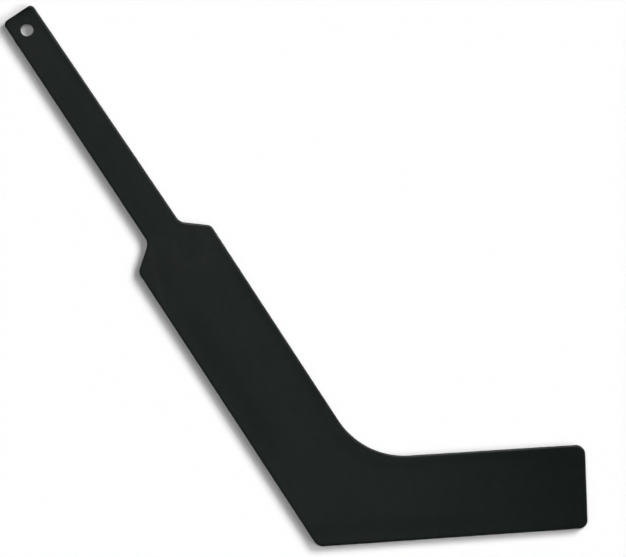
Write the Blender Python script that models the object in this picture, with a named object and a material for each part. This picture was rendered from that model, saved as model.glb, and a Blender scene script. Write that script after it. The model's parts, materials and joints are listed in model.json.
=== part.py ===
"""Mini ice hockey goalie stick: two moulded half shells closed round a stiffening core.

The stick stands as it is played: +Z is up, +X points to the toe, the front face looks along -Y and
the sole is level. The world's origin is the grip, on the middle line of the shaft where a hand
holds it. Every piece is drawn from the heel, the point where the sole meets the paddle's rear edge.
"""

import math

import bmesh
import bpy
from mathutils import Vector

MM = 0.001

# Sizes seen from the front, in millimetres and degrees
SHAFT_LENGTH = 213.6           # shoulders to butt end
PADDLE_LENGTH = 265.6          # heel to the outer corners of the shoulders
PADDLE_WIDTH = 70.2
SHAFT_WIDTH_BUTT = 28.2
SHAFT_WIDTH_NECK = 30.5
SHOULDER_SLOPE = 51.0          # between a shoulder and the paddle's axis
SHAFT_LEAN = 0.65              # the shaft leans back a touch further than the paddle
LIE_ANGLE = 60.8               # between the paddle's axis and the sole
BLADE_LENGTH = 219.6           # heel to toe along the sole
BLADE_HEIGHT_THROAT = 69.0
BLADE_HEIGHT_TOE = 67.9
TOE_LEAN = 2.0                 # the toe edge leans outwards at its top

# Corner radii of the outline
HEEL_RADIUS = 8.0
TOE_SOLE_RADIUS = 7.0
TOE_TOP_RADIUS = 7.7
THROAT_RADIUS = 63.7
SHOULDER_RADIUS = 5.9
NECK_RADIUS = 10.0
BUTT_RADIUS = 4.1

# Half shells
THICKNESS = 9.5                # front face to back face
EDGE_RADIUS = 2.6              # round-over between a face and the edge
FACE_WALL = 2.0
SIDE_WALL = 2.6
SEAM_LAND = 1.3                # width on which the two shells meet at mid-thickness
LIP_HEIGHT = 1.2               # lip of the back shell that stands inside the front shell's wall
GAP = 0.3                      # clearance between pieces that touch

# Hanging hole
HOLE_DIAMETER = 10.3
HOLE_FROM_BUTT = 15.4
HOLE_OFFSET = 0.9              # from the shaft's middle line, towards the rear edge
HOLE_RIM_RADIUS = 0.6
HOLE_BOSS_WALL = 2.0

# Locating pins on the back shell, with a recess for each tip in the front shell
PIN_DIAMETER = 4.0
PIN_SEAT = 1.0                 # depth of a recess
SHAFT_PINS_FROM_BUTT = (48.0, 150.0)
PADDLE_PINS_FROM_HEEL = (130.0, 225.0)
TOE_PIN_FROM_TOE = 11.0

# Stiffening core
SPINE_START = 3.0              # bare length between the hole's boss and the spine
HEEL_BLOCK_RISE = 86.0         # up the paddle's rear edge from the heel
HEEL_BLOCK_REACH = 88.0        # along the sole from the heel
TOE_BLOCK_LENGTH = 30.0
BLADE_SPINE_WIDTH = 20.0
SPINE_TONGUE_WIDTH = 12.0
SPINE_TONGUE_LENGTH = 20.0
BLADE_TONGUE_WIDTH = 10.0
BLADE_TONGUE_LENGTH = 12.0
CORE_TIP_WIDTH = 4.0           # width of a paddle core where it ends under its shoulder

# Grip
GRIP_ABOVE_NECK = 45.0         # half a hand's width above the shoulders

# Fineness of the mesh
CHORD_ERROR = 0.03             # how far an arc's chords may stray from it
EDGE_STEPS = 5                 # facets across the round-over
RIM_STEPS = 3                  # facets across the hanging hole's rim
HOLE_SIDES = 32
PIN_SIDES = 16
OVERSHOOT = 1.0                # how far a cutter runs past what it cuts, and a boss into its wall
SMALLEST_RADIUS = 0.2          # what is left of a corner radius where a wall would use it up


# Directions and points in the front view are 2D vectors: x towards the toe, y up

def direction(degrees):
    """Unit vector at an angle from +x."""
    return Vector((math.cos(math.radians(degrees)), math.sin(math.radians(degrees))))


def left_of(vector):
    """The vector turned a quarter turn anticlockwise."""
    return Vector((-vector.y, vector.x))


ALONG_SOLE = direction(0.0)
UPWARDS = left_of(ALONG_SOLE)
PADDLE_UP = direction(180.0 - LIE_ANGLE)
PADDLE_ACROSS = -left_of(PADDLE_UP)
SHAFT_UP = direction(180.0 - LIE_ANGLE + SHAFT_LEAN)
SHAFT_ACROSS = -left_of(SHAFT_UP)
SHOULDER_LENGTH = (PADDLE_WIDTH - SHAFT_WIDTH_NECK) / 2 / math.tan(math.radians(SHOULDER_SLOPE))
STICK_LENGTH = PADDLE_LENGTH + SHOULDER_LENGTH + SHAFT_LENGTH     # 495.3, or 19.5 inches
HALF = THICKNESS / 2
CEILING = HALF - FACE_WALL                       # inner face of a shell, from mid-thickness
CORE_HALF = CEILING - GAP
CORE_INSET = SIDE_WALL + GAP                     # outline of the core inside the shells' walls
BLADE_MIDDLE = BLADE_HEIGHT_THROAT / 2


def on_paddle(up, across):
    """Point up the paddle from the heel and across it from its middle line."""
    return PADDLE_UP * up + PADDLE_ACROSS * (PADDLE_WIDTH / 2 + across)


NECK_CENTRE = on_paddle(PADDLE_LENGTH + SHOULDER_LENGTH, 0.0)
BUTT_CENTRE = NECK_CENTRE + SHAFT_UP * SHAFT_LENGTH
GRIP_CENTRE = NECK_CENTRE + SHAFT_UP * GRIP_ABOVE_NECK


def on_shaft(down, across):
    """Point down the shaft from the butt end and across it from its middle line."""
    return BUTT_CENTRE - SHAFT_UP * down + SHAFT_ACROSS * across


def outline_corners():
    """The stick's corners with their radii, anticlockwise from the heel."""
    half_paddle = PADDLE_WIDTH / 2
    half_neck = SHAFT_WIDTH_NECK / 2
    half_butt = SHAFT_WIDTH_BUTT / 2
    throat_up = (BLADE_HEIGHT_THROAT - PADDLE_ACROSS.y * PADDLE_WIDTH) / PADDLE_UP.y
    toe_top = BLADE_LENGTH + BLADE_HEIGHT_TOE * math.tan(math.radians(TOE_LEAN))
    return [
        (Vector((0.0, 0.0)), HEEL_RADIUS),
        (Vector((BLADE_LENGTH, 0.0)), TOE_SOLE_RADIUS),
        (Vector((toe_top, BLADE_HEIGHT_TOE)), TOE_TOP_RADIUS),
        (on_paddle(throat_up, half_paddle), THROAT_RADIUS),
        (on_paddle(PADDLE_LENGTH, half_paddle), SHOULDER_RADIUS),
        (NECK_CENTRE + SHAFT_ACROSS * half_neck, NECK_RADIUS),
        (on_shaft(0.0, half_butt), BUTT_RADIUS),
        (on_shaft(0.0, -half_butt), BUTT_RADIUS),
        (NECK_CENTRE - SHAFT_ACROSS * half_neck, NECK_RADIUS),
        (on_paddle(PADDLE_LENGTH, -half_paddle), SHOULDER_RADIUS),
    ]


def arc(start, centre, turn, steps):
    """Points from start round the centre through the turn, in radians."""
    arm = start - centre
    points = []
    for step in range(steps + 1):
        angle = turn * step / steps
        cosine = math.cos(angle)
        sine = math.sin(angle)
        turned = Vector((arm.x * cosine - arm.y * sine, arm.x * sine + arm.y * cosine))
        points.append(centre + turned)
    return points


def outline(inset=0.0):
    """The stick's outline with every edge moved inwards by the inset.

    A corner has the same number of points at every inset, so that outlines join into walls.
    """
    corners = outline_corners()
    points = []
    for index, (corner, radius) in enumerate(corners):
        before = (corner - corners[index - 1][0]).normalized()
        after = (corners[(index + 1) % len(corners)][0] - corner).normalized()
        turn = math.atan2(before.x * after.y - before.y * after.x, before.dot(after))
        side = math.copysign(1.0, turn)
        moved = corner + (left_of(before) + left_of(after)) * inset / (1.0 + before.dot(after))
        moved_radius = max(radius - side * inset, SMALLEST_RADIUS)
        start = moved - before * moved_radius * math.tan(abs(turn) / 2)
        centre = start + left_of(before) * moved_radius * side
        widest_step = 2 * math.acos(1 - CHORD_ERROR / radius)
        points += arc(start, centre, turn, max(3, math.ceil(abs(turn) / widest_step)))
    return points


def circle(centre, radius, sides):
    """Points round a centre in the front view."""
    return [centre + direction(360.0 * side / sides) * radius for side in range(sides)]


# Meshes

def add_loft(bm, rings):
    """Add a closed body through rings of the same number of points, each a pair (points, y)."""
    rows = [[bm.verts.new((point.x * MM, y * MM, point.y * MM)) for point in points]
            for points, y in rings]
    for lower, upper in zip(rows, rows[1:]):
        for index in range(len(lower)):
            after = (index + 1) % len(lower)
            bm.faces.new((lower[index], lower[after], upper[after], upper[index]))
    bm.faces.new(rows[0])
    bm.faces.new(rows[-1])


def add_prism(bm, points, low, high):
    """Add a flat body of this front outline between two depths."""
    add_loft(bm, [(points, low), (points, high)])


def new_object(name, bm, material=None):
    """Turn a bmesh into an object that hangs from the heel datum. No material makes it a cutter."""
    bmesh.ops.recalc_face_normals(bm, faces=bm.faces)
    mesh = bpy.data.meshes.new(name)
    bm.to_mesh(mesh)
    bm.free()
    item = bpy.data.objects.new(name, mesh)
    bpy.context.scene.collection.objects.link(item)
    item.parent = heel_datum
    if material:
        mesh.materials.append(material)
        mesh.shade_smooth()
        mesh.set_sharp_from_angle(angle=math.radians(30))
    else:
        item.hide_render = True
        item.display_type = "WIRE"
    return item


def combine(item, other, operation):
    """Add a live Boolean of one object with a cutter."""
    modifier = item.modifiers.new(other.name, "BOOLEAN")
    modifier.operation = operation
    modifier.object = other


def new_material(name, colour, roughness, metallic=0.0):
    """A plain Principled material."""
    material = bpy.data.materials.new(name)
    material.use_nodes = True
    shader = material.node_tree.nodes["Principled BSDF"]
    shader.inputs["Base Color"].default_value = (*colour, 1.0)
    shader.inputs["Roughness"].default_value = roughness
    shader.inputs["Metallic"].default_value = metallic
    return material


# Half shells

def rounded_edge():
    """(inset, depth) pairs from the flat face round to the edge wall."""
    pairs = []
    for step in range(EDGE_STEPS + 1):
        angle = math.pi / 2 * step / EDGE_STEPS
        inset = EDGE_RADIUS * (1 - math.sin(angle))
        depth = HALF - EDGE_RADIUS * (1 - math.cos(angle))
        pairs.append((inset, depth))
    return pairs


def half_shell(name, side, rim, material):
    """A tray: flat face, round-over, edge wall, the rim that meets the other shell, and the inside.

    side is -1 for the front and +1 for the back; depths run from mid-thickness to the shell's face.
    """
    bm = bmesh.new()
    profile = rounded_edge() + rim + [(SIDE_WALL, CEILING)]
    add_loft(bm, [(outline(inset), side * depth) for inset, depth in profile])
    shell = new_object(name, bm, material)

    boss_radius = HOLE_DIAMETER / 2 + HOLE_BOSS_WALL
    bm = bmesh.new()
    ends = sorted((side * GAP / 2, side * (CEILING + OVERSHOOT)))
    add_prism(bm, circle(HOLE_CENTRE, boss_radius, HOLE_SIDES), *ends)
    combine(shell, new_object(name + "_hole_boss", bm), "UNION")
    combine(shell, hole_cutter, "DIFFERENCE")
    return shell


def turned_hole():
    """Cutter for the hanging hole, flared to round its rim on both faces."""
    bore = HOLE_DIAMETER / 2
    flare = []
    for step in range(RIM_STEPS + 1):
        angle = math.pi / 2 * step / RIM_STEPS
        radius = bore + HOLE_RIM_RADIUS * (1 - math.sin(angle))
        flare.append((radius, HALF - HOLE_RIM_RADIUS * (1 - math.cos(angle))))
    upper = [(bore + HOLE_RIM_RADIUS, HALF + OVERSHOOT)] + flare
    profile = [(radius, -y) for radius, y in upper] + upper[::-1]
    bm = bmesh.new()
    add_loft(bm, [(circle(HOLE_CENTRE, radius, HOLE_SIDES), y) for radius, y in profile])
    return new_object("hanging_hole_cutter", bm)


def pin_bodies(name, radius, low, high):
    """One cutter with a cylinder at every locating pin."""
    bm = bmesh.new()
    for centre in PIN_CENTRES:
        add_prism(bm, circle(centre, radius, PIN_SIDES), low, high)
    return new_object(name, bm)


# Core pieces

def core_piece(name, points, material):
    """A flat piece of the core: its outline trimmed to the shells' inside and bored for pins."""
    bm = bmesh.new()
    reach = CORE_HALF + OVERSHOOT
    add_prism(bm, points, -reach, reach)
    item = new_object(name, bm, material)
    combine(item, core_blank, "INTERSECT")
    combine(item, pin_clearance, "DIFFERENCE")
    return item


def notch(mouth, inwards, along, width, length):
    """Four points of a slot in an edge, in the order in which the edge runs along."""
    half = width / 2 + GAP
    depth = length + GAP
    return [
        mouth - along * half,
        mouth - along * half + inwards * depth,
        mouth + along * half + inwards * depth,
        mouth + along * half,
    ]


def shaft_spine_points():
    """The bar from under the hanging hole to the heel block, with its tongue at the lower end."""
    half_neck = SHAFT_WIDTH_NECK / 2 - CORE_INSET
    top = HOLE_FROM_BUTT + HOLE_DIAMETER / 2 + HOLE_BOSS_WALL + SPINE_START
    taper = (SHAFT_WIDTH_NECK - SHAFT_WIDTH_BUTT) / 2 / SHAFT_LENGTH
    half_top = SHAFT_WIDTH_BUTT / 2 + taper * top - CORE_INSET
    half_tongue = SPINE_TONGUE_WIDTH / 2
    foot = HEEL_BLOCK_RISE + GAP
    tip = HEEL_BLOCK_RISE - SPINE_TONGUE_LENGTH
    return [
        on_paddle(tip, half_tongue),
        on_paddle(foot, half_tongue),
        on_paddle(foot, half_neck),
        NECK_CENTRE + SHAFT_ACROSS * half_neck,
        on_shaft(top, half_top),
        on_shaft(top, -half_top),
        NECK_CENTRE - SHAFT_ACROSS * half_neck,
        on_paddle(foot, -half_neck),
        on_paddle(foot, -half_tongue),
        on_paddle(tip, -half_tongue),
    ]


def paddle_core_points(side):
    """The filler beside the spine; side is +1 towards the toe and -1 towards the heel."""
    inner = SHAFT_WIDTH_NECK / 2 - CORE_INSET + GAP
    slope = math.tan(math.radians(SHOULDER_SLOPE))
    wall = CORE_INSET / math.cos(math.radians(SHOULDER_SLOPE))
    tip = PADDLE_LENGTH + (PADDLE_WIDTH / 2 - wall - inner - CORE_TIP_WIDTH) / slope
    foot = HEEL_BLOCK_RISE + GAP
    outer = PADDLE_WIDTH
    return [
        on_paddle(foot, side * inner),
        on_paddle(foot, side * outer),
        on_paddle(tip, side * outer),
        on_paddle(tip, side * inner),
    ]


def heel_block_points():
    """Everything below the end of the paddle cores and behind the blade cores."""
    far = STICK_LENGTH
    meeting = (HEEL_BLOCK_RISE - PADDLE_UP.x * HEEL_BLOCK_REACH) / PADDLE_UP.y
    top_notch = notch(on_paddle(HEEL_BLOCK_RISE, 0.0), -PADDLE_UP, -PADDLE_ACROSS,
                      SPINE_TONGUE_WIDTH, SPINE_TONGUE_LENGTH)
    toe_notch = notch(Vector((HEEL_BLOCK_REACH, BLADE_MIDDLE)), -ALONG_SOLE, UPWARDS,
                      BLADE_TONGUE_WIDTH, BLADE_TONGUE_LENGTH)
    return [
        Vector((HEEL_BLOCK_REACH, -far)),
        *toe_notch,
        Vector((HEEL_BLOCK_REACH, meeting)),
        *top_notch,
        on_paddle(HEEL_BLOCK_RISE, -far),
        Vector((-far, -far)),
    ]


def blade_spine_points():
    """The bar along the middle of the blade, with a tongue at each end."""
    heel_end = HEEL_BLOCK_REACH + GAP
    toe_end = TOE_BLOCK_START - GAP
    half = BLADE_SPINE_WIDTH / 2
    half_tongue = BLADE_TONGUE_WIDTH / 2
    heel_tip = HEEL_BLOCK_REACH - BLADE_TONGUE_LENGTH
    toe_tip = TOE_BLOCK_START + BLADE_TONGUE_LENGTH
    lower = [
        (heel_tip, -half_tongue),
        (heel_end, -half_tongue),
        (heel_end, -half),
        (toe_end, -half),
        (toe_end, -half_tongue),
        (toe_tip, -half_tongue),
    ]
    upper = [(x, -height) for x, height in reversed(lower)]
    return [Vector((x, BLADE_MIDDLE + height)) for x, height in lower + upper]


def blade_core_points(side):
    """The filler along the blade spine; side is +1 above it and -1 below it."""
    heel_end = HEEL_BLOCK_REACH + GAP
    toe_end = TOE_BLOCK_START - GAP
    inner = BLADE_MIDDLE + side * (BLADE_SPINE_WIDTH / 2 + GAP)
    outer = BLADE_MIDDLE + side * BLADE_HEIGHT_THROAT
    return [Vector((heel_end, inner)), Vector((toe_end, inner)),
            Vector((toe_end, outer)), Vector((heel_end, outer))]


def toe_block_points():
    """Everything in front of the blade cores."""
    far = STICK_LENGTH
    heel_notch = notch(Vector((TOE_BLOCK_START, BLADE_MIDDLE)), ALONG_SOLE, -UPWARDS,
                       BLADE_TONGUE_WIDTH, BLADE_TONGUE_LENGTH)
    return [
        Vector((far, -far)),
        Vector((far, far)),
        Vector((TOE_BLOCK_START, far)),
        *heel_notch,
        Vector((TOE_BLOCK_START, -far)),
    ]


# Places that several pieces share
TOE_BLOCK_START = BLADE_LENGTH - TOE_BLOCK_LENGTH
HOLE_CENTRE = on_shaft(HOLE_FROM_BUTT, -HOLE_OFFSET)
HEEL_PIN_UP = (BLADE_MIDDLE - PADDLE_ACROSS.y * PADDLE_WIDTH / 2) / PADDLE_UP.y
PIN_CENTRES = (
    [on_shaft(down, 0.0) for down in SHAFT_PINS_FROM_BUTT]
    + [on_paddle(up, 0.0) for up in PADDLE_PINS_FROM_HEEL]
    + [on_paddle(HEEL_PIN_UP, 0.0)]
    + [Vector(((HEEL_BLOCK_REACH + TOE_BLOCK_START) / 2, BLADE_MIDDLE))]
    + [Vector((BLADE_LENGTH - TOE_PIN_FROM_TOE, BLADE_MIDDLE))]
)

# Empty the scene and set the datum
for old in list(bpy.data.objects):
    bpy.data.objects.remove(old, do_unlink=True)

heel_datum = bpy.data.objects.new("heel_datum", None)
heel_datum.location = (-GRIP_CENTRE.x * MM, 0.0, -GRIP_CENTRE.y * MM)
bpy.context.scene.collection.objects.link(heel_datum)

black_moulding = new_material("black_moulding", (0.014, 0.017, 0.016), 0.45)
birch = new_material("birch", (0.60, 0.42, 0.24), 0.6)
rigid_foam = new_material("rigid_foam", (0.78, 0.74, 0.62), 0.9)

# Cutters
hole_cutter = turned_hole()
pin_floor = -CEILING - PIN_SEAT
pin_bore = PIN_DIAMETER / 2 + GAP
pin_clearance = pin_bodies("pin_clearance", pin_bore, -HALF, HALF)
pin_recesses = pin_bodies("pin_recesses", pin_bore, pin_floor, -CEILING + OVERSHOOT)
pin_posts = pin_bodies("pin_posts", PIN_DIAMETER / 2, pin_floor + GAP, CEILING + OVERSHOOT)
blank_mesh = bmesh.new()
add_prism(blank_mesh, outline(CORE_INSET), -CORE_HALF, CORE_HALF)
core_blank = new_object("core_blank", blank_mesh)

# Shells: the front one has a rebate inside its rim, the back one a lip that stands in it
seam = GAP / 2
rebate = LIP_HEIGHT + GAP
lip_start = SEAM_LAND + GAP
lip_top = -LIP_HEIGHT
front_rim = [(0.0, seam), (SEAM_LAND, seam), (SEAM_LAND, rebate), (SIDE_WALL, rebate)]
back_rim = [(0.0, seam), (lip_start, seam), (lip_start, lip_top), (SIDE_WALL, lip_top)]
front_shell = half_shell("front_shell", -1, front_rim, black_moulding)
combine(front_shell, pin_recesses, "DIFFERENCE")
back_shell = half_shell("back_shell", 1, back_rim, black_moulding)
combine(back_shell, pin_posts, "UNION")

# Core
core_piece("shaft_spine", shaft_spine_points(), birch)
core_piece("paddle_core_front", paddle_core_points(1), rigid_foam)
core_piece("paddle_core_rear", paddle_core_points(-1), rigid_foam)
core_piece("heel_block", heel_block_points(), birch)
core_piece("blade_spine", blade_spine_points(), birch)
core_piece("blade_core_upper", blade_core_points(1), rigid_foam)
core_piece("blade_core_lower", blade_core_points(-1), rigid_foam)
core_piece("toe_block", toe_block_points(), birch)
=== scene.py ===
"""A small ice hockey goalie stick, dressed round its packed construction.

The stick is put together as its moulder would: a back shell with a lip and locating pins, a stiffening
core of birch and rigid foam laid into it, and a front shell that closes it. It stands as it is played,
+Z up, +X towards the toe, the front face looking along -Y. Sizes are in millimetres and degrees.
"""

import json
import math

import bmesh
import bpy
import numpy as np
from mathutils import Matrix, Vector


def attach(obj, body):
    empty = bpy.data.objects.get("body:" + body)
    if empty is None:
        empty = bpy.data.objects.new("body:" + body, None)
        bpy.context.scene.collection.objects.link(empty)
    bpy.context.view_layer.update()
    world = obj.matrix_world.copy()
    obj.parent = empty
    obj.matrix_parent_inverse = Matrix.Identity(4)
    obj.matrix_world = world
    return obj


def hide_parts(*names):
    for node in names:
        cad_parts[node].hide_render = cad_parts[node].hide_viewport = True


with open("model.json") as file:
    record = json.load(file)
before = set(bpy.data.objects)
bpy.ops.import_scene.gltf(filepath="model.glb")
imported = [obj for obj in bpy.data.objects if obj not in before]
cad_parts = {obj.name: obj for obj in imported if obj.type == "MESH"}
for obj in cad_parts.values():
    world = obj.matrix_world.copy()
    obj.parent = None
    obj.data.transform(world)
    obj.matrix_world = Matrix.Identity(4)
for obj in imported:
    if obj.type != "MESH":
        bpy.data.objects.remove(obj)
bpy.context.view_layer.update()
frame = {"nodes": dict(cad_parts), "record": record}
mounts = {mount["name"]: mount["pos_m"] for mount in frame["record"]["mounts"]}
MM = 0.001


# Back shell
# The rear half of the stick, a tray moulded in black plastic: a flat face, a rounded edge, an outer wall
# that ends at the parting line, and a boss round the hanging hole. Its lip and pins locate the front
# shell. The outline is drawn from the heel, with x along the sole and z upwards.

PADDLE_LENGTH = 265.6
PADDLE_WIDTH = 70.2
SHAFT_LENGTH = 213.6
SHAFT_WIDTH_BUTT = 28.2
SHAFT_WIDTH_NECK = 30.5
SHOULDER_SLOPE = 51.0
SHAFT_LEAN = 0.65
LIE_ANGLE = 60.8
BLADE_LENGTH = 219.6
BLADE_HEIGHT_THROAT = 69.0
BLADE_HEIGHT_TOE = 67.9
TOE_LEAN = 2.0
HEEL_RADIUS = 8.0
TOE_SOLE_RADIUS = 7.0
TOE_TOP_RADIUS = 7.7
THROAT_RADIUS = 63.7
SHOULDER_RADIUS = 5.9
NECK_RADIUS = 10.0
BUTT_RADIUS = 4.1
SMALLEST_RADIUS = 0.2          # what an outer corner keeps when it is moved far inwards
CHORD_ERROR = 0.004            # how far an arc's chords may stray from it
STATION = 4.0                  # usual step along a straight edge
ACROSS = 16                    # steps from one long edge to the other
BUTT_STEP = 0.3                # the shaft's first step below the butt, as a share of the usual one


def direction(degrees):
    """Unit vector in the front view at an angle from +x."""
    return np.array((math.cos(math.radians(degrees)), math.sin(math.radians(degrees))))


def left_of(vectors):
    """Vectors turned a quarter turn anticlockwise: (x, z) becomes (-z, x)."""
    return np.stack((-vectors[..., 1], vectors[..., 0]), axis=-1)


def unit(vectors):
    """Each vector divided by its own length."""
    return vectors / np.linalg.norm(vectors, axis=-1, keepdims=True)


# The mount "sole" lies in the middle of the sole, and the heel is the sole's rear corner.
heel = np.array(mounts["sole"])[[0, 2]] / MM - (BLADE_LENGTH / 2, 0)
paddle_up = direction(180 - LIE_ANGLE)
paddle_across = -left_of(paddle_up)
shaft_up = direction(180 - LIE_ANGLE + SHAFT_LEAN)
shaft_across = -left_of(shaft_up)
paddle_middle = paddle_across * PADDLE_WIDTH / 2
shoulder_length = (PADDLE_WIDTH - SHAFT_WIDTH_NECK) / 2 / math.tan(math.radians(SHOULDER_SLOPE))
neck_centre = paddle_up * (PADDLE_LENGTH + shoulder_length) + paddle_middle
butt_centre = neck_centre + shaft_up * SHAFT_LENGTH
throat_up = (BLADE_HEIGHT_THROAT - paddle_across[1] * PADDLE_WIDTH) / paddle_up[1]
throat_corner = paddle_up * throat_up + paddle_across * PADDLE_WIDTH
throat_side = math.tan(math.radians(90 - (180 - LIE_ANGLE) / 2)) * THROAT_RADIUS
throat_centre = throat_corner + (throat_side, THROAT_RADIUS)
toe_top_reach = BLADE_LENGTH + BLADE_HEIGHT_TOE * math.tan(math.radians(TOE_LEAN))

# Corners from the butt's rear corner anticlockwise: down the rear edge, along the sole, round the toe
# and back up. The first matches the last, the second the last but one, and so on.
corners = np.array((
    butt_centre - shaft_across * SHAFT_WIDTH_BUTT / 2,
    neck_centre - shaft_across * SHAFT_WIDTH_NECK / 2,
    paddle_up * PADDLE_LENGTH,
    (0.0, 0.0),
    (BLADE_LENGTH, 0.0),
    (toe_top_reach, BLADE_HEIGHT_TOE),
    throat_corner,
    paddle_up * PADDLE_LENGTH + paddle_across * PADDLE_WIDTH,
    neck_centre + shaft_across * SHAFT_WIDTH_NECK / 2,
    butt_centre + shaft_across * SHAFT_WIDTH_BUTT / 2,
))
radii = np.array((BUTT_RADIUS, NECK_RADIUS, SHOULDER_RADIUS, HEEL_RADIUS, TOE_SOLE_RADIUS,
                  TOE_TOP_RADIUS, THROAT_RADIUS, SHOULDER_RADIUS, NECK_RADIUS, BUTT_RADIUS))
arriving = unit(corners - np.roll(corners, 1, axis=0))
leaving = np.roll(arriving, -1, axis=0)
corner_cosine = (arriving * leaving).sum(axis=1)
corner_turn = np.arctan2((left_of(arriving) * leaving).sum(axis=1), corner_cosine)
corner_side = np.sign(corner_turn)

# Each arc and straight of the rear edge has as many steps as its match on the front edge. Straights 4
# and 9, the toe and the butt end, run across from one to the other. The two long edges of the shaft,
# straights 0 and 8, have finer steps towards the butt, round the hanging hole.
arc_steps = np.ceil(abs(corner_turn) / (2 * np.arccos(1 - CHORD_ERROR / radii))).astype(int)
arc_steps = np.maximum(arc_steps, arc_steps[::-1])
straight_steps = np.ceil(np.linalg.norm(np.roll(corners, -1, axis=0) - corners, axis=1) / STATION)
straight_steps[:9] = np.maximum(straight_steps[:9], straight_steps[8::-1])
straight_steps[[4, 9]] = ACROSS
straight_steps = straight_steps.astype(int)
side_points = int(sum(arc_steps[:5] + 1) + sum(straight_steps[:4] - 1))
shares = [np.arange(1, steps)[:, None] / steps for steps in straight_steps]
shares[0] = shares[0] * (BUTT_STEP + (1 - BUTT_STEP) * shares[0])
shares[8] = 1 - shares[0][::-1]


def outline(inset):
    """Closed outline moved inwards by the inset.

    Each corner slides along its bisector, its radius less the inset on an outer corner and more on an
    inner one, and its arc turns from the arriving edge to the leaving one. Straights are cut in shares.
    """
    slide = (left_of(arriving) + left_of(leaving)) * inset / (1 + corner_cosine)[:, None]
    radius = np.maximum(radii - corner_side * inset, SMALLEST_RADIUS)
    start = corners + slide - arriving * (radius * np.tan(abs(corner_turn) / 2))[:, None]
    centre = start + left_of(arriving) * (radius * corner_side)[:, None]
    arcs = []
    for corner, steps in enumerate(arc_steps):
        angle = np.linspace(0, corner_turn[corner], steps + 1)[:, None]
        arm = start[corner] - centre[corner]
        arcs.append(centre[corner] + np.cos(angle) * arm + np.sin(angle) * left_of(arm))
    runs = []
    for corner, share in enumerate(shares):
        begin = arcs[corner][-1]
        end = arcs[(corner + 1) % len(arcs)][0]
        runs += [arcs[corner], begin * (1 - share) + end * share]
    return np.concatenate(runs)


def face_grid(loop):
    """Grid that fills an outline.

    Each row is a straight line from a point of the rear edge to its match in front, in even shares.
    """
    rear = loop[:side_points]
    front = loop[side_points + ACROSS - 1:][:side_points][::-1]
    share = (np.arange(ACROSS + 1) / ACROSS)[:, None]
    return rear[:, None] * (1 - share) + front[:, None] * share


HOLE_DIAMETER = 10.3
HOLE_FROM_BUTT = 15.4
HOLE_OFFSET = 0.9
hole_centre = butt_centre - shaft_up * HOLE_FROM_BUTT - shaft_across * HOLE_OFFSET

# The butt end is drawn as rings round the hole, down to the first row that lies more than twice as far
# below the butt as the hole does.
below_butt = (butt_centre - outline(0)[:side_points]) @ shaft_up
collar_row = int(np.argmax(below_butt > 2 * HOLE_FROM_BUTT))


def placed(points, depth):
    """Front-view points at a depth behind mid-thickness, as places in the frame: x, depth, z."""
    x, z = np.moveaxis(points + heel, -1, 0)
    return np.stack((x, np.broadcast_to(depth, x.shape), z), axis=-1) * MM


def collar_edge(loop):
    """Closed edge of the butt end: the outline above the collar row, then back along that row."""
    above = len(loop) - ACROSS - collar_row
    row = face_grid(loop)[collar_row]
    return np.concatenate((loop[above:], loop[:collar_row + 1], row[1:-1]))


spokes = unit(collar_edge(outline(0)) - hole_centre)


def collar(loop, radius, depth, steps):
    """Rings from a circle round the hanging hole out to the edge of the butt end, in even shares."""
    share = (np.arange(steps + 1) / steps)[:, None, None]
    circle = hole_centre + radius * spokes
    return placed(circle * (1 - share) + collar_edge(loop) * share, depth)


def turned(centre, rays, profile):
    """Rings round a centre: each pair (radius, depth) of the profile gives one ring along the rays."""
    radius, depth = np.array(profile).T
    return placed(centre + radius[:, None, None] * rays, depth[:, None])


def wrapped(profile):
    """Rings round the whole stick: each pair (inset, depth) of the profile gives one outline."""
    inset, depth = np.array(profile).T
    return placed(np.stack([outline(one) for one in inset]), depth[:, None])


def quads(rows, columns, closed):
    """Corner numbers of the quads between neighbouring rows and columns of a grid."""
    here = np.arange(rows * columns).reshape(rows, columns)
    after = np.roll(here, -1, axis=1)
    if not closed:
        here, after = here[:, :-1], after[:, :-1]
    return np.stack((here[:-1], after[:-1], after[1:], here[1:]), axis=-1)


WELD = 1e-7                    # in metres, as the mesh is
SHARP_ANGLE = 35.0


def moulded(name, sheets, material):
    """Weld sheets (places, closed, kept cells) into one object with outward faces and smooth shading."""
    places, faces, count = [], [], 0
    for grid, closed, kept in sheets:
        cells = quads(*grid.shape[:2], closed)
        faces.append(cells[kept].reshape(-1, 4) + count)
        places.append(grid.reshape(-1, 3))
        count += len(places[-1])
    mesh = bpy.data.meshes.new(name)
    mesh.from_pydata(np.concatenate(places), [], np.concatenate(faces))
    bm = bmesh.new()
    bm.from_mesh(mesh)
    bmesh.ops.remove_doubles(bm, verts=bm.verts, dist=WELD)
    loose = [vertex for vertex in bm.verts if not vertex.link_faces]
    bmesh.ops.delete(bm, geom=loose, context="VERTS")
    bmesh.ops.recalc_face_normals(bm, faces=bm.faces)
    bm.to_mesh(mesh)
    bm.free()
    mesh.shade_smooth()
    mesh.set_sharp_from_angle(angle=math.radians(SHARP_ANGLE))
    mesh.materials.append(material)
    piece = bpy.data.objects.new(name, mesh)
    bpy.context.scene.collection.objects.link(piece)
    return piece


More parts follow.
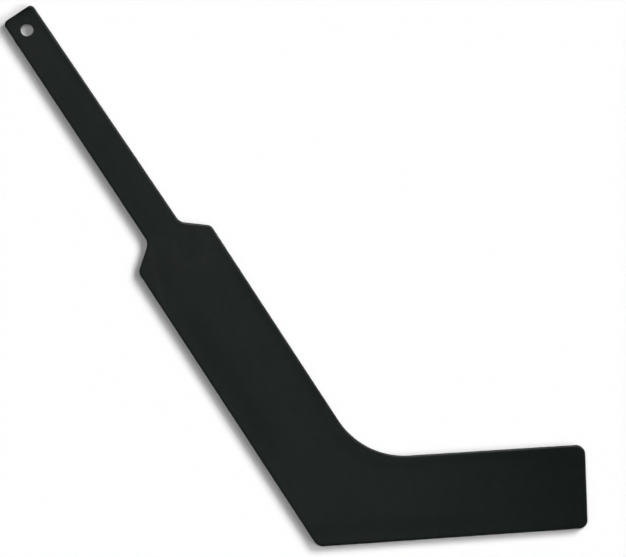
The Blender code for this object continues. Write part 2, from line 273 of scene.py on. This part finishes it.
THICKNESS = 9.5
EDGE_RADIUS = 2.6
FACE_WALL = 2.0
SIDE_WALL = 2.6
SEAM_LAND = 1.3
LIP_HEIGHT = 1.2
CLEARANCE = 0.3
SEAM = 0.1                     # half of the gap between the shells
PARTING_RADIUS = 0.35          # rounded lip on either side of the parting line
FLAT_MARGIN = 0.5              # flat strip beside each round-over, which keeps the face's shading flat
HOLE_RIM_RADIUS = 0.6
HOLE_BOSS_WALL = 2.0
EDGE_STEPS = 12
RIM_STEPS = 6
PARTING_STEPS = 3
COLLAR_STEPS = 6
HALF = THICKNESS / 2
CEILING = HALF - FACE_WALL
HOLE_RADIUS = HOLE_DIAMETER / 2

# Seven pins stand on the middle lines of shaft, paddle and blade, one of them in the heel, where the
# lines of paddle and blade meet.
PIN_DIAMETER = 4.0
PIN_SEAT = 1.0
PIN_MARGIN = 2.5               # the block of cells that a pin replaces reaches this far round it
SHAFT_PINS_FROM_BUTT = (48.0, 150.0)
PADDLE_PINS_FROM_HEEL = (130.0, 225.0)
TOE_PIN_FROM_TOE = 11.0
HEEL_BLOCK_REACH = 88.0
TOE_BLOCK_LENGTH = 30.0
blade_middle = BLADE_HEIGHT_THROAT / 2
heel_pin_up = (blade_middle - paddle_middle[1]) / paddle_up[1]
blade_pin_x = (HEEL_BLOCK_REACH + BLADE_LENGTH - TOE_BLOCK_LENGTH) / 2
pin_centres = (
    [butt_centre - shaft_up * down for down in SHAFT_PINS_FROM_BUTT]
    + [paddle_up * up + paddle_middle for up in (*PADDLE_PINS_FROM_HEEL, heel_pin_up)]
    + [np.array((x, blade_middle)) for x in (blade_pin_x, BLADE_LENGTH - TOE_PIN_FROM_TOE)]
)


def quarter_turn(steps):
    """Sine and cosine of even steps through a quarter turn."""
    angle = np.linspace(0, math.pi / 2, steps + 1)
    return np.sin(angle), np.cos(angle)


def pierce(grid, kept, centre, radius):
    """Take the block of cells round a pin out of a face grid, and return the block's edge as a loop."""
    away = np.linalg.norm(grid - centre, axis=-1)
    near = away < radius + PIN_MARGIN
    near[np.unravel_index(away.argmin(), away.shape)] = True
    rows = np.flatnonzero(near.any(axis=1))
    columns = np.flatnonzero(near.any(axis=0))
    top, bottom = rows[0] - 1, rows[-1] + 1
    left, right = columns[0] - 1, columns[-1] + 1
    kept[top:bottom, left:right] = False
    return np.concatenate((grid[top, left:right], grid[top:bottom, right],
                           grid[bottom, right:left:-1], grid[bottom:top:-1, left]))


def shell(name, side, rim, pin_radius, pin_end, material):
    """One tray. Its skin follows a profile from the flat face round the edge to the ceiling inside.

    side is -1 for the front and +1 for the back. rim is the profile between parting line and ceiling,
    and pins run from the ceiling to pin_end, as posts or as recesses.
    """
    sine, cosine = quarter_turn(EDGE_STEPS)
    edge = np.stack((EDGE_RADIUS * (1 - sine), HALF - EDGE_RADIUS * (1 - cosine)), axis=1)
    sine, cosine = quarter_turn(PARTING_STEPS)
    lip = np.stack((PARTING_RADIUS * (1 - cosine), SEAM + PARTING_RADIUS * (1 - sine)), axis=1)
    flat = EDGE_RADIUS + FLAT_MARGIN
    profile = np.concatenate(([(flat, HALF)], edge, lip, rim, [(SIDE_WALL, CEILING)]))
    sine, cosine = quarter_turn(RIM_STEPS)
    flare = HOLE_RADIUS + HOLE_RIM_RADIUS + FLAT_MARGIN
    boss = HOLE_RADIUS + HOLE_BOSS_WALL
    bore = np.stack((HOLE_RADIUS + HOLE_RIM_RADIUS * (1 - sine),
                     HALF - HOLE_RIM_RADIUS * (1 - cosine)), axis=1)
    bore = np.concatenate(([(flare, HALF)], bore,
                           [(HOLE_RADIUS, SEAM), (boss, SEAM), (boss, CEILING)]))
    face = outline(flat)
    ceiling = outline(SIDE_WALL)
    ceiling_grid = face_grid(ceiling)[collar_row:]
    kept = np.ones((ceiling_grid.shape[0] - 1, ACROSS), bool)
    sheets = [
        (placed(face_grid(face)[collar_row:], side * HALF), False, ...),
        (collar(face, flare, side * HALF, COLLAR_STEPS), True, ...),
        (wrapped(profile * (1, side)), True, ...),
        (turned(hole_centre, spokes, bore * (1, side)), True, ...),
        (collar(ceiling, boss, side * CEILING, COLLAR_STEPS), True, ...),
    ]
    for centre in pin_centres:
        block = pierce(ceiling_grid, kept, centre, pin_radius)
        rays = unit(block - centre)
        pin = [(pin_radius, side * CEILING), (pin_radius, side * pin_end), (0, side * pin_end)]
        circle = centre + pin_radius * rays
        sheets += [
            (placed(np.stack((circle, block)), side * CEILING), True, ...),
            (turned(centre, rays, pin), True, ...),
        ]
    sheets.append((placed(ceiling_grid, side * CEILING), False, kept))
    return moulded(name, sheets, material)


class Wire:
    """One output of a shader node. Sums, differences and products of wires add their Math nodes."""

    def __init__(self, tree, socket=None):
        self.tree = tree
        self.socket = socket

    def node(self, kind, inputs, output=0, stops=(), **settings):
        """Add a node: its settings and ramp stops first, then a value or a wire for each input."""
        added = self.tree.nodes.new(kind)
        for setting, value in settings.items():
            setattr(added, setting, value)
        for number, (position, colour) in enumerate(stops):
            if number < 2:
                stop = added.color_ramp.elements[number]
            else:
                stop = added.color_ramp.elements.new(position)
            stop.position = position
            stop.color = (*colour, 1)
        for name, value in inputs.items():
            if isinstance(value, Wire):
                self.tree.links.new(value.socket, added.inputs[name])
            else:
                added.inputs[name].default_value = value
        return Wire(self.tree, added.outputs[output]) if added.outputs else None

    def maths(self, operation, *values):
        """Add a Math node."""
        return self.node("ShaderNodeMath", dict(enumerate(values)), operation=operation)

    def __add__(self, other):
        return self.maths("ADD", self, other)

    def __sub__(self, other):
        return self.maths("SUBTRACT", self, other)

    def __rsub__(self, other):
        return self.maths("SUBTRACT", other, self)

    def __mul__(self, other):
        return self.maths("MULTIPLY", self, other)

    def __truediv__(self, other):
        return self.maths("DIVIDE", self, other)

    __radd__ = __add__
    __rmul__ = __mul__


def new_finish(name):
    """A material without nodes, and its Object coordinates in millimetres."""
    material = bpy.data.materials.new(name)
    material.use_nodes = True
    material.node_tree.nodes.clear()
    metres = Wire(material.node_tree).node("ShaderNodeTexCoord", {}, "Object")
    place = metres.node("ShaderNodeVectorMath", {0: metres, "Scale": 1 / MM}, operation="SCALE")
    return material, place


def along(place, way, start=(0.0, 0.0)):
    """How far a place lies along a front-view direction from a point of the outline."""
    reach = place.node("ShaderNodeVectorMath", {0: place, 1: (way[0], 0, way[1])}, "Value",
                       operation="DOT_PRODUCT")
    return reach - float((heel + start) @ way)


def bell(value, middle, width, peak=1.0):
    """Bell curve: its peak where the value is at the middle, and 1/e of it a width to either side."""
    share = (value - middle) / width
    return share.maths("EXPONENT", share * share * -1) * peak


def spot(across, up, middle, widths, peak):
    """Soft oval spot: the product of two bells, one across and one up."""
    return bell(across, middle[0], widths[0], peak) * bell(up, middle[1], widths[1])


def distance(across, up):
    """Distance in the front view: the root of the sum of squares."""
    return across.maths("SQRT", across * across + up * up)


def rise(value, low, high):
    """Smooth step from 0 at low to 1 at high."""
    inputs = {"Value": value, "From Min": low, "From Max": high}
    return value.node("ShaderNodeMapRange", inputs, interpolation_type="SMOOTHSTEP")


def fall(value, high, low):
    """Smooth step from 1 at high to 0 at low."""
    return 1 - rise(value, high, low)


def span(value, start, full, fading, end):
    """Plateau of 1 with soft ends: a rise from start to full times a fall from fading to end."""
    return rise(value, start, full) * fall(value, fading, end)


def mottle(place, size, detail=1.0):
    """Soft random pattern between 0 and 1, about 0.5 on average, with patches of a size."""
    return place.node("ShaderNodeTexNoise", {"Vector": place, "Scale": 1 / size, "Detail": detail})


def uneven(place, size, depth, detail=1.0):
    """The same pattern moved to lie about 0 and scaled by a depth."""
    return (mottle(place, size, detail) - 0.5) * depth


def tinted(colour, tone):
    """A colour scaled by a tone."""
    return tone.node("ShaderNodeVectorMath", {0: colour, "Scale": tone}, operation="SCALE")


def dress(material, place, colour, roughness, height):
    """Close a material: colour and roughness as wires or values, and a bump from a height."""
    normal = place.node("ShaderNodeBump", {"Height": height, "Distance": MM, "Strength": 1.0})
    surface = place.node("ShaderNodeBsdfPrincipled",
                         {"Base Color": colour, "Roughness": roughness, "Normal": normal})
    place.node("ShaderNodeOutputMaterial", {"Surface": surface})


# Black plastic with a fine moulded grain in its tone, its gloss and its relief. Each pattern has the
# size of its patches and its depth. The neutral colour after the black is what a mark of painted shade
# of depth 1 takes off the colour.
BLACK = (0.0044, 0.0070, 0.0062)
PAINTED_SHADE = (0.0044, 0.0044, 0.0044)
SATIN = 0.38
GRAIN_SIZE = 2.0
GRAIN_DETAIL = 2.0
GRAIN_IN_TONE = 1.4
GRAIN_IN_GLOSS = 0.14
PATCHES = (6.0, 0.4)
BROAD_PATCHES = (34.0, 0.3)
FINE_RELIEF = (0.7, 0.012)
WAVY_RELIEF = (5.0, 0.04)
black_moulding, place = new_finish("black_moulding_finish")
grain = uneven(place, GRAIN_SIZE, 1.0, GRAIN_DETAIL)
tone = 1 + grain * GRAIN_IN_TONE + uneven(place, *PATCHES) + uneven(place, *BROAD_PATCHES)
relief = uneven(place, *FINE_RELIEF) + uneven(place, *WAVY_RELIEF)

# The face is not quite even in its light. Painted shade darkens it in lanes along the edges and towards
# the toe, and faint flow marks cross it under the shoulders and below the hole, drawn in painted
# highlight and painted shade. A lane or gleam has its middle, its width and its depth, which is below
# zero where a highlight is painted. A span has the places where a mark starts, is full, starts to fade
# and ends.
# Painted shade in two lanes along the paddle's rear and front edges.
REAR_LANE = (-20, 9.5, 0.52)
REAR_LANE_SPAN = (60, 110, 180, 290)
FRONT_LANE = (30.5, 3, 0.5)
FRONT_LANE_SPAN = (95, 115, 214, 230)
paddle_reach = along(place, paddle_up)
paddle_side = along(place, paddle_across, paddle_middle)
painted_shade_and_sheen = bell(paddle_side, *REAR_LANE) * span(paddle_reach, *REAR_LANE_SPAN)
painted_shade_and_sheen += bell(paddle_side, *FRONT_LANE) * span(paddle_reach, *FRONT_LANE_SPAN)

# On the shaft, painted shade in lanes and at the butt's corner, and a painted highlight across it below
# the hole.
LOWER_SHAFT_SPAN = (-6, 6, 110, 170)
LOWER_SHAFT_SHADE = 0.06
LOWER_SHAFT_LANE = (-6, 6, 0.22)
UPPER_SHAFT_LANE = (11.5, 2.5, 0.5)
UPPER_SHAFT_GLEAM = (181, 8, -0.28)
BUTT_SHADE = 0.6
BUTT_SHADE_UP = (203, 212)
BUTT_SHADE_ACROSS = (-8, 8)
shaft_reach = along(place, shaft_up, neck_centre)
shaft_side = along(place, shaft_across, neck_centre)
lower_shaft = span(shaft_reach, *LOWER_SHAFT_SPAN)
upper_shaft = rise(shaft_reach, *LOWER_SHAFT_SPAN[2:])
painted_shade_and_sheen += lower_shaft * (bell(shaft_side, *LOWER_SHAFT_LANE) + LOWER_SHAFT_SHADE)
painted_shade_and_sheen += upper_shaft * (bell(shaft_side, *UPPER_SHAFT_LANE) + bell(shaft_reach, *UPPER_SHAFT_GLEAM))
painted_shade_and_sheen += rise(shaft_reach, *BUTT_SHADE_UP) * rise(shaft_side, *BUTT_SHADE_ACROSS) * BUTT_SHADE

# On the blade, a band of painted shade along the sole, painted shade towards the toe, and a broad faint
# painted highlight nearer the heel.
SOLE_BAND = (13, 6, 0.4)
SOLE_BAND_PADDLE_END = (40, 90)
SOLE_BAND_TOE_END = (110, 165)
HEEL_GLEAM = (85, 38, -0.12)
TOE_SHADE = 0.25
TOE_SHADE_ALONG = (150, 205)
TOE_SHADE_UP = (5, 50)
blade_reach = along(place, (1.0, 0.0))
blade_rise = along(place, (0.0, 1.0))
sole_band = fall(paddle_reach, *SOLE_BAND_PADDLE_END) * fall(blade_reach, *SOLE_BAND_TOE_END)
toe_shade = rise(blade_reach, *TOE_SHADE_ALONG) * rise(blade_rise, *TOE_SHADE_UP)
painted_shade_and_sheen += sole_band * bell(blade_rise, *SOLE_BAND) + bell(blade_reach, *HEEL_GLEAM)
painted_shade_and_sheen += toe_shade * TOE_SHADE

# A lane of painted shade runs down the paddle's edge, round the throat and along the top of the blade.
THROAT_LANE = (THROAT_RADIUS + 9, 4, 0.35)
THROAT_LANE_PADDLE_END = (100, 120)
TOP_LANE = (BLADE_HEIGHT_THROAT - 6, 3, 0.35)
TOP_LANE_START = (95, 110)
throat_x = along(place, (1.0, 0.0), throat_centre)
throat_z = along(place, (0.0, 1.0), throat_centre)
throat_lane = fall(paddle_reach, *THROAT_LANE_PADDLE_END) * fall(blade_reach, *TOP_LANE_START)
top_lane = rise(blade_reach, *TOP_LANE_START) * (1 - toe_shade)
painted_shade_and_sheen += throat_lane * bell(distance(throat_x, throat_z), *THROAT_LANE)
painted_shade_and_sheen += top_lane * bell(blade_rise, *TOP_LANE)

# Under the shoulders lies a faint flow mark drawn in painted highlight and painted shade: a bright open
# ring with a shaded middle and two bright spots, and beside it a fine bright streak with painted shade.
RING_CENTRE = (-86.2, 247.8)
RING_EDGE = (13.8, 2.6, -0.3)
RING_MIDDLE = (0, 7, 0.22)
RING_OPENING = (-4, 6)
RING_OPENING_SLOPE = 0.5
LOWER_SPOT = ((11.2, -9.3), (4, 5), -0.4)
UPPER_SPOT = ((12, 10), (9, 6), -0.25)
ring_x = along(place, (1.0, 0.0), RING_CENTRE)
ring_z = along(place, (0.0, 1.0), RING_CENTRE)
from_ring = distance(ring_x, ring_z)
closed_part = fall(ring_z + ring_x * RING_OPENING_SLOPE, *RING_OPENING)
painted_shade_and_sheen += bell(from_ring, *RING_EDGE) * closed_part + bell(from_ring, *RING_MIDDLE)
painted_shade_and_sheen += spot(ring_x, ring_z, *LOWER_SPOT) + spot(ring_x, ring_z, *UPPER_SPOT)

STREAK_PLACE = (-118.9, 250.7)
STREAK_LEAN = 9.1
STREAK = (0, 0.8, -1.0)
STREAK_SPAN = (202, 212, 246, 252)
STREAK_SHADE = ((7, 228), (5, 14), 0.18)
streak_side = along(place, direction(STREAK_LEAN), STREAK_PLACE)
painted_shade_and_sheen += bell(streak_side, *STREAK) * span(blade_rise, *STREAK_SPAN)
painted_shade_and_sheen += spot(streak_side, blade_rise, *STREAK_SHADE)

# The painted shade and painted highlights are taken off the black: a depth above zero darkens it, one
# below zero lightens it.
black = place.node("ShaderNodeVectorMath", {0: tinted(BLACK, tone), 1: tinted(PAINTED_SHADE, painted_shade_and_sheen)},
                   operation="SUBTRACT")
dress(black_moulding, place, black, SATIN + grain * GRAIN_IN_GLOSS, relief)

lip_start = SEAM_LAND + CLEARANCE
back_rim = [(lip_start, SEAM), (lip_start, -LIP_HEIGHT), (SIDE_WALL, -LIP_HEIGHT)]
back = shell("moulded_back", 1, back_rim, PIN_DIAMETER / 2, -CEILING - PIN_SEAT + CLEARANCE,
             black_moulding)
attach(back, "root")
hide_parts("back_shell")


# Spines and blocks
# Flat bars and blocks of planed birch that stiffen the stick: a spine down the shaft and paddle, a block
# in the heel that takes it, a spine along the blade and a block in the toe. The back shell's pins run
# through holes in them.

BIRCH_DARK = (0.42, 0.27, 0.14)
BIRCH = (0.6, 0.42, 0.24)
BIRCH_LIGHT = (0.7, 0.53, 0.33)
BIRCH_STOPS = ((0.3, BIRCH_DARK), (0.5, BIRCH), (0.7, BIRCH_LIGHT))
BIRCH_ROUGHNESS = 0.55
FIBRES = (30.0, 3.0, 4.0)      # stretch along the grain, size across it, detail
FIBRE_RELIEF = 0.06
PORES = (12.0, 0.5, 0.0)
PORE_THRESHOLD = (0.68, 0.78)
PORE_TONE = 0.35
PORE_ROUGHNESS = 0.2
PORE_DEPTH = 0.05


def birch(name, grain_way):
    """Birch with its grain along a front-view direction: stretched noise for fibres, and fine pores."""
    material, place = new_finish(name)
    length = along(place, grain_way)
    width = along(place, left_of(grain_way))
    depth = place.node("ShaderNodeSeparateXYZ", {0: place}, "Y")

    def stretched(stretch, size, detail):
        """Random pattern of a size across the grain, drawn out along it by a stretch."""
        grained = place.node("ShaderNodeCombineXYZ", {"X": length / stretch, "Y": width, "Z": depth})
        return mottle(grained, size, detail)

    figure = stretched(*FIBRES)
    pitted = rise(stretched(*PORES), *PORE_THRESHOLD)
    colour = figure.node("ShaderNodeValToRGB", {"Fac": figure}, stops=BIRCH_STOPS)
    dress(material, place, tinted(colour, 1 - pitted * PORE_TONE),
          BIRCH_ROUGHNESS + pitted * PORE_ROUGHNESS, figure * FIBRE_RELIEF - pitted * PORE_DEPTH)
    return material


def coat(material, *names):
    """Put a finish on nodes of the construction."""
    for name in names:
        for slot in frame["nodes"][name].material_slots:
            slot.material = material


coat(birch("birch_along_shaft", shaft_up), "shaft_spine", "heel_block")
coat(birch("birch_along_blade", direction(0)), "blade_spine", "toe_block")


# Foam cores
# Light fillers sawn from rigid closed-cell foam, two in the paddle beside the spine and two in the blade
# above and below it.

FOAM = (0.78, 0.74, 0.62)
FOAM_ROUGHNESS = 0.85
CELL_SIZE = 0.8
CELL_CREST_TONE = 1.05
CELL_TONE = 0.3
CELL_DEPTH = 0.15
rigid_foam, place = new_finish("rigid_foam_finish")
cells = place.node("ShaderNodeTexVoronoi", {"Vector": place, "Scale": 1 / CELL_SIZE})
dress(rigid_foam, place, tinted(FOAM, CELL_CREST_TONE - cells * CELL_TONE), FOAM_ROUGHNESS,
      cells * CELL_DEPTH)
coat(rigid_foam, "paddle_core_front", "paddle_core_rear", "blade_core_upper", "blade_core_lower")


# Front shell
# The front half of the stick, moulded in the same black plastic. Its rebate takes the back shell's lip
# and its recesses take the pins. It closes the stick.

rebate = LIP_HEIGHT + CLEARANCE
front_rim = [(SEAM_LAND, SEAM), (SEAM_LAND, rebate), (SIDE_WALL, rebate)]
front = shell("moulded_front", -1, front_rim, PIN_DIAMETER / 2 + CLEARANCE, CEILING + PIN_SEAT,
              black_moulding)
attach(front, "root")
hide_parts("front_shell")


# Board and floor
# A white board stands right behind the stick and takes its shadow. Only the camera sees it, and only
# from the front. The floor is a pale sheet lit from below, and lies below the camera's view.

BOARD_WIDTH = 760.0
BOARD_HEIGHT = 560.0
BOARD_GAP = 3.5
FLOOR_DROP = 30.0
FLOOR_REACH = 20000.0
PAPER_WHITE = (0.9, 0.9, 0.9)
PAPER_ROUGHNESS = 0.9
PAPER_PATCHES = (4.0, 0.02, 2.0)  # size, depth and detail
FLOOR_WHITE = (0.8, 0.8, 0.8)
FLOOR_ROUGHNESS = 0.7
FLOOR_PATCHES = (60.0, 0.04, 2.0)
FLOOR_GLOW = 0.62              # light from below through the sheet
VIEW_CENTRE = (11.27, 217.32)  # the photograph's centre from the heel
view_x = heel[0] + VIEW_CENTRE[0]
view_z = heel[1] + VIEW_CENTRE[1]
board_y = HALF + BOARD_GAP
floor_z = heel[1] - FLOOR_DROP


def flat_sheet(name, places, material):
    """A stage plane with four corners. It casts neither shadow nor light, and no gloss mirrors it."""
    mesh = bpy.data.meshes.new(name)
    mesh.from_pydata(np.array(places) * MM, [], [(0, 1, 2, 3)])
    mesh.materials.append(material)
    piece = bpy.data.objects.new(name, mesh)
    piece.visible_shadow = False
    piece.visible_diffuse = False
    piece.visible_glossy = False
    bpy.context.scene.collection.objects.link(piece)


paper, place = new_finish("white_paper")
front_side = place.node("ShaderNodeBsdfPrincipled",
                        {"Base Color": tinted(PAPER_WHITE, 1 + uneven(place, *PAPER_PATCHES)),
                         "Roughness": PAPER_ROUGHNESS, "Specular IOR Level": 0.0})
seen_through = place.node("ShaderNodeBsdfTransparent", {})
from_behind = place.node("ShaderNodeNewGeometry", {}, "Backfacing")
one_sided = place.node("ShaderNodeMixShader", {0: from_behind, 1: front_side, 2: seen_through})
place.node("ShaderNodeOutputMaterial", {"Surface": one_sided})
left_x = view_x - BOARD_WIDTH / 2
right_x = view_x + BOARD_WIDTH / 2
top_z = floor_z + BOARD_HEIGHT
flat_sheet("board", [(left_x, board_y, floor_z), (right_x, board_y, floor_z),
                     (right_x, board_y, top_z), (left_x, board_y, top_z)], paper)

floor_sheet, place = new_finish("floor_sheet")
lit = place.node("ShaderNodeBsdfPrincipled",
                 {"Base Color": tinted(FLOOR_WHITE, 1 + uneven(place, *FLOOR_PATCHES)),
                  "Roughness": FLOOR_ROUGHNESS,
                  "Emission Color": (1, 1, 1, 1), "Emission Strength": FLOOR_GLOW})
place.node("ShaderNodeOutputMaterial", {"Surface": lit})
flat_sheet("floor", [(-FLOOR_REACH, -FLOOR_REACH, floor_z), (FLOOR_REACH, -FLOOR_REACH, floor_z),
                     (FLOOR_REACH, FLOOR_REACH, floor_z), (-FLOOR_REACH, FLOOR_REACH, floor_z)],
           floor_sheet)


# Lights
# Two key lights throw the soft shadow, the stronger from the upper right and the weaker from the lower
# right. A dim one beside the camera fills it, and soft boxes in front, behind, at the right and above
# give the plastic its sheen.

def aimed(name, light, towards, place=(0.0, 0.0, 0.0)):
    """Hang a light at a place, shining from a direction back along it."""
    lamp = bpy.data.objects.new(name, light)
    lamp.location = np.array(place) * MM
    lamp.rotation_mode = "QUATERNION"
    lamp.rotation_quaternion = Vector(towards).to_track_quat("Z", "Y")
    lamp.visible_camera = False
    bpy.context.scene.collection.objects.link(lamp)
    return lamp


def sun(name, azimuth, height, strength, angle):
    """A far light of an apparent width, for shade and shadow but not for gloss.

    azimuth is its place round the front view from +x, and height is how far it stands out of the face.
    """
    light = bpy.data.lights.new(name, "SUN")
    light.energy = strength
    light.angle = math.radians(angle)
    x, z = direction(azimuth) * math.cos(math.radians(height))
    aimed(name, light, (x, -math.sin(math.radians(height)), z)).visible_glossy = False


def soft_box(name, towards, place, width, height, radiance):
    """A rectangle of even light. Its power is radiance times pi times its area."""
    light = bpy.data.lights.new(name, "AREA")
    light.shape = "RECTANGLE"
    light.size = width * MM
    light.size_y = height * MM
    light.energy = radiance * math.pi * light.size * light.size_y
    return aimed(name, light, towards, place)


sun("key_high", azimuth=36.4, height=53.9, strength=2.26, angle=22.4)
sun("key_low", azimuth=-18.5, height=59.3, strength=0.97, angle=21.4)
sun("fill", azimuth=135, height=82, strength=0.735, angle=14)

# The front box stands to the left of the view's centre and a little below it, so that its gloss fades
# towards the toe. The one behind the stick stands opposite to it.
BOX_AWAY = 500.0
BOX_ASIDE = 480.0
BOX_BELOW = 70.0
BOX_WIDTH = 1200.0
BOX_HEIGHT = 840.0
box_z = view_z - BOX_BELOW
front_box = soft_box("front_box", (0, -1, 0), (view_x - BOX_ASIDE, -BOX_AWAY, box_z),
                     BOX_WIDTH, BOX_HEIGHT, radiance=0.264)
front_box.visible_diffuse = False
soft_box("back_box", (0, 1, 0), (view_x + BOX_ASIDE, BOX_AWAY, box_z),
         BOX_WIDTH, BOX_HEIGHT, radiance=0.254)

# The rim boxes are slender, so that only the rounded edges that are turned to them shine.
RIM_AWAY = 740.0
RIM_FORWARD = 105.0            # how far they stand in front of the stick
RIM_LENGTH = 500.0
RIM_BREADTH = 160.0


def rim_box(name, azimuth, width, height, radiance):
    """A soft box at an azimuth round the view, which shines back past the stick's front."""
    way = direction(azimuth)
    x, z = np.array((view_x, view_z)) + way * RIM_AWAY
    lamp = soft_box(name, (way[0], -RIM_FORWARD / RIM_AWAY, way[1]), (x, -RIM_FORWARD, z),
                    width, height, radiance)
    lamp.visible_diffuse = False


rim_box("rim_right", azimuth=43, width=RIM_BREADTH, height=RIM_LENGTH, radiance=6.0)
rim_box("rim_top", azimuth=87, width=RIM_LENGTH, height=RIM_BREADTH, radiance=7.7)

# The room is dim. The camera sees it bright, and gloss finds a brighter ring in it round the line of
# sight. The ring is a bell over the square of a direction's share along that line.
SURROUNDING = 0.03
BACKGROUND = 0.85
BRIGHT_RING = (0.3, 0.25, 0.15)
world = bpy.data.worlds.new("studio")
bpy.context.scene.world = world
world.use_nodes = True
world.node_tree.nodes.clear()
room = Wire(world.node_tree)
seen = room.node("ShaderNodeLightPath", {}, "Is Camera Ray")
mirrored = room.node("ShaderNodeLightPath", {}, "Is Glossy Ray")
way = room.node("ShaderNodeTexCoord", {}, "Generated")
facing = way.node("ShaderNodeSeparateXYZ", {0: way}, "Y")
ring = bell(facing * facing, *BRIGHT_RING)
strength = SURROUNDING + seen * (BACKGROUND - SURROUNDING) + mirrored * ring
glow = room.node("ShaderNodeBackground", {"Color": (1, 1, 1, 1), "Strength": strength})
room.node("ShaderNodeOutputWorld", {"Surface": glow})
bpy.context.scene.view_settings.view_transform = "Standard"


# Camera
# It looks square at the front face from far off through a long lens, turned so that the sole rises to
# the right as in the photograph.

PIXEL = 0.8109                 # millimetres to a pixel of the photograph at the stick's edge
PHOTO_WIDTH = 626
CAMERA_DISTANCE = 16000.0
SENSOR_WIDTH = 36.0
SOLE_SLOPE = 3.96

lens = bpy.data.cameras.new("camera")
lens.sensor_width = SENSOR_WIDTH
lens.lens = SENSOR_WIDTH * CAMERA_DISTANCE / (PHOTO_WIDTH * PIXEL)
camera = bpy.data.objects.new("camera", lens)
camera.location = np.array((view_x, EDGE_RADIUS - HALF - CAMERA_DISTANCE, view_z)) * MM
camera.rotation_euler = (math.radians(90), math.radians(SOLE_SLOPE), 0)
bpy.context.scene.collection.objects.link(camera)
bpy.context.scene.camera = camera
